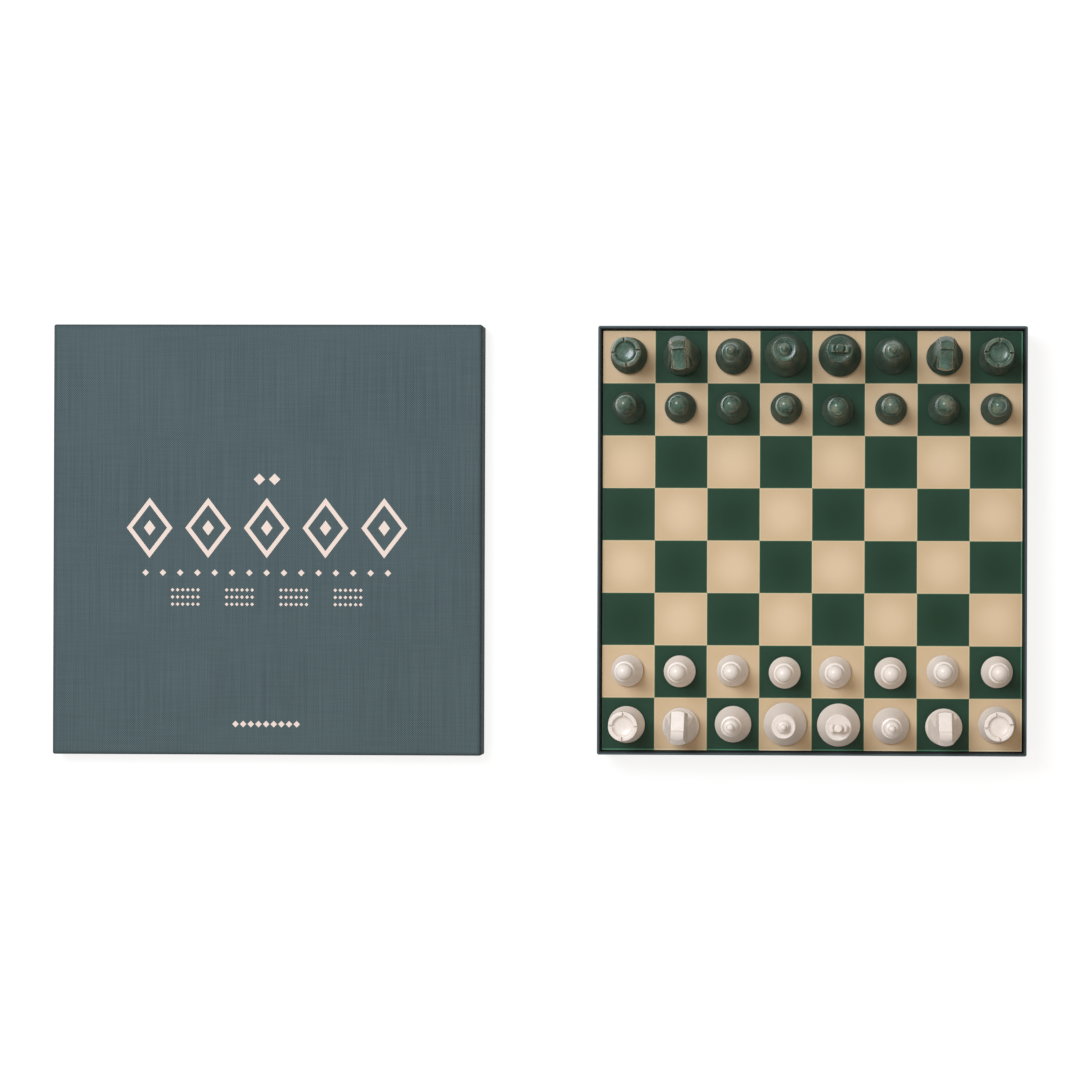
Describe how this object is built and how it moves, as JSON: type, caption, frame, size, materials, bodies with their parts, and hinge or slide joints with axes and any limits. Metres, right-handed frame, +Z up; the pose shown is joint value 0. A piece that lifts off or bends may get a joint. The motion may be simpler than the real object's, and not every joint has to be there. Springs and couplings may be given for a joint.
{
  "type": "chess set",
  "caption": "chess set in a square cloth-covered box: turned wooden pieces on a glossy chequered board in the open tray, the shallow lift-off lid lying beside it",
  "frame": {"origin": "middle of the tray's underside, on the table", "axes": "+X from the lid to the tray, along the longest extent; +Y from the cream side of the board to the green side; +Z up"},
  "size_m": [0.7587, 0.336, 0.1001],
  "materials": {
    "cloth": "matte woven book cloth, grey-teal, glued over board",
    "greyboard": "uncoated greyboard",
    "lining_paper": "matte dark paper",
    "ledge_card": "card wrapped in matte dark paper",
    "clear_sheet": "clear polished sheet",
    "light_print": "printed cream",
    "dark_print": "printed dark green",
    "backing_card": "stiff dark card",
    "green_wood": "turned wood, satin green paint, worn at the edges",
    "cream_wood": "turned wood, satin cream paint"
  },
  "bodies": {
    "tray": {"tray_cloth": "cloth", "tray_floor_board": "greyboard", "tray_walls": "greyboard", "tray_lining": "lining_paper", "ledge_frame": "ledge_card", "divider_long": "ledge_card", "divider_cross": "ledge_card"},
    "lid": {"lid_cloth": "cloth", "lid_top_board": "greyboard", "lid_walls": "greyboard", "lid_lining": "lining_paper"},
    "board": {"board_clear_sheet": "clear_sheet", "light_squares": "light_print", "dark_squares": "dark_print", "board_backing": "backing_card"},
    "green_rook_a": {"green_rook_a": "green_wood"},
    "green_knight_b": {"green_knight_b": "green_wood"},
    "green_bishop_c": {"green_bishop_c": "green_wood"},
    "green_queen": {"green_queen": "green_wood"},
    "green_king": {"green_king": "green_wood", "green_king_cross": "green_wood"},
    "green_bishop_f": {"green_bishop_f": "green_wood"},
    "green_knight_g": {"green_knight_g": "green_wood"},
    "green_rook_h": {"green_rook_h": "green_wood"},
    "green_pawn_a": {"green_pawn_a": "green_wood"},
    "green_pawn_b": {"green_pawn_b": "green_wood"},
    "green_pawn_c": {"green_pawn_c": "green_wood"},
    "green_pawn_d": {"green_pawn_d": "green_wood"},
    "green_pawn_e": {"green_pawn_e": "green_wood"},
    "green_pawn_f": {"green_pawn_f": "green_wood"},
    "green_pawn_g": {"green_pawn_g": "green_wood"},
    "green_pawn_h": {"green_pawn_h": "green_wood"},
    "cream_rook_a": {"cream_rook_a": "cream_wood"},
    "cream_knight_b": {"cream_knight_b": "cream_wood"},
    "cream_bishop_c": {"cream_bishop_c": "cream_wood"},
    "cream_queen": {"cream_queen": "cream_wood"},
    "cream_king": {"cream_king": "cream_wood", "cream_king_cross": "cream_wood"},
    "cream_bishop_f": {"cream_bishop_f": "cream_wood"},
    "cream_knight_g": {"cream_knight_g": "cream_wood"},
    "cream_rook_h": {"cream_rook_h": "cream_wood"},
    "cream_pawn_a": {"cream_pawn_a": "cream_wood"},
    "cream_pawn_b": {"cream_pawn_b": "cream_wood"},
    "cream_pawn_c": {"cream_pawn_c": "cream_wood"},
    "cream_pawn_d": {"cream_pawn_d": "cream_wood"},
    "cream_pawn_e": {"cream_pawn_e": "cream_wood"},
    "cream_pawn_f": {"cream_pawn_f": "cream_wood"},
    "cream_pawn_g": {"cream_pawn_g": "cream_wood"},
    "cream_pawn_h": {"cream_pawn_h": "cream_wood"}
  },
  "joints": [
    {"name": "lid_lift", "type": "slide", "parent": "tray", "child": "lid", "axis": [0, 0, 1], "range_m": [0, 0.12]},
    {"name": "board_lift", "type": "slide", "parent": "tray", "child": "board", "axis": [0, 0, 1], "range_m": [0, 0.06]},
    {"name": "green_rook_a_lift", "type": "slide", "parent": "board", "child": "green_rook_a", "axis": [0, 0, 1], "range_m": [0, 0.08]},
    {"name": "green_knight_b_lift", "type": "slide", "parent": "board", "child": "green_knight_b", "axis": [0, 0, 1], "range_m": [0, 0.08]},
    {"name": "green_bishop_c_lift", "type": "slide", "parent": "board", "child": "green_bishop_c", "axis": [0, 0, 1], "range_m": [0, 0.08]},
    {"name": "green_queen_lift", "type": "slide", "parent": "board", "child": "green_queen", "axis": [0, 0, 1], "range_m": [0, 0.08]},
    {"name": "green_king_lift", "type": "slide", "parent": "board", "child": "green_king", "axis": [0, 0, 1], "range_m": [0, 0.08]},
    {"name": "green_bishop_f_lift", "type": "slide", "parent": "board", "child": "green_bishop_f", "axis": [0, 0, 1], "range_m": [0, 0.08]},
    {"name": "green_knight_g_lift", "type": "slide", "parent": "board", "child": "green_knight_g", "axis": [0, 0, 1], "range_m": [0, 0.08]},
    {"name": "green_rook_h_lift", "type": "slide", "parent": "board", "child": "green_rook_h", "axis": [0, 0, 1], "range_m": [0, 0.08]},
    {"name": "green_pawn_a_lift", "type": "slide", "parent": "board", "child": "green_pawn_a", "axis": [0, 0, 1], "range_m": [0, 0.08]},
    {"name": "green_pawn_b_lift", "type": "slide", "parent": "board", "child": "green_pawn_b", "axis": [0, 0, 1], "range_m": [0, 0.08]},
    {"name": "green_pawn_c_lift", "type": "slide", "parent": "board", "child": "green_pawn_c", "axis": [0, 0, 1], "range_m": [0, 0.08]},
    {"name": "green_pawn_d_lift", "type": "slide", "parent": "board", "child": "green_pawn_d", "axis": [0, 0, 1], "range_m": [0, 0.08]},
    {"name": "green_pawn_e_lift", "type": "slide", "parent": "board", "child": "green_pawn_e", "axis": [0, 0, 1], "range_m": [0, 0.08]},
    {"name": "green_pawn_f_lift", "type": "slide", "parent": "board", "child": "green_pawn_f", "axis": [0, 0, 1], "range_m": [0, 0.08]},
    {"name": "green_pawn_g_lift", "type": "slide", "parent": "board", "child": "green_pawn_g", "axis": [0, 0, 1], "range_m": [0, 0.08]},
    {"name": "green_pawn_h_lift", "type": "slide", "parent": "board", "child": "green_pawn_h", "axis": [0, 0, 1], "range_m": [0, 0.08]},
    {"name": "cream_rook_a_lift", "type": "slide", "parent": "board", "child": "cream_rook_a", "axis": [0, 0, 1], "range_m": [0, 0.08]},
    {"name": "cream_knight_b_lift", "type": "slide", "parent": "board", "child": "cream_knight_b", "axis": [0, 0, 1], "range_m": [0, 0.08]},
    {"name": "cream_bishop_c_lift", "type": "slide", "parent": "board", "child": "cream_bishop_c", "axis": [0, 0, 1], "range_m": [0, 0.08]},
    {"name": "cream_queen_lift", "type": "slide", "parent": "board", "child": "cream_queen", "axis": [0, 0, 1], "range_m": [0, 0.08]},
    {"name": "cream_king_lift", "type": "slide", "parent": "board", "child": "cream_king", "axis": [0, 0, 1], "range_m": [0, 0.08]},
    {"name": "cream_bishop_f_lift", "type": "slide", "parent": "board", "child": "cream_bishop_f", "axis": [0, 0, 1], "range_m": [0, 0.08]},
    {"name": "cream_knight_g_lift", "type": "slide", "parent": "board", "child": "cream_knight_g", "axis": [0, 0, 1], "range_m": [0, 0.08]},
    {"name": "cream_rook_h_lift", "type": "slide", "parent": "board", "child": "cream_rook_h", "axis": [0, 0, 1], "range_m": [0, 0.08]},
    {"name": "cream_pawn_a_lift", "type": "slide", "parent": "board", "child": "cream_pawn_a", "axis": [0, 0, 1], "range_m": [0, 0.08]},
    {"name": "cream_pawn_b_lift", "type": "slide", "parent": "board", "child": "cream_pawn_b", "axis": [0, 0, 1], "range_m": [0, 0.08]},
    {"name": "cream_pawn_c_lift", "type": "slide", "parent": "board", "child": "cream_pawn_c", "axis": [0, 0, 1], "range_m": [0, 0.08]},
    {"name": "cream_pawn_d_lift", "type": "slide", "parent": "board", "child": "cream_pawn_d", "axis": [0, 0, 1], "range_m": [0, 0.08]},
    {"name": "cream_pawn_e_lift", "type": "slide", "parent": "board", "child": "cream_pawn_e", "axis": [0, 0, 1], "range_m": [0, 0.08]},
    {"name": "cream_pawn_f_lift", "type": "slide", "parent": "board", "child": "cream_pawn_f", "axis": [0, 0, 1], "range_m": [0, 0.08]},
    {"name": "cream_pawn_g_lift", "type": "slide", "parent": "board", "child": "cream_pawn_g", "axis": [0, 0, 1], "range_m": [0, 0.08]},
    {"name": "cream_pawn_h_lift", "type": "slide", "parent": "board", "child": "cream_pawn_h", "axis": [0, 0, 1], "range_m": [0, 0.08]}
  ]
}
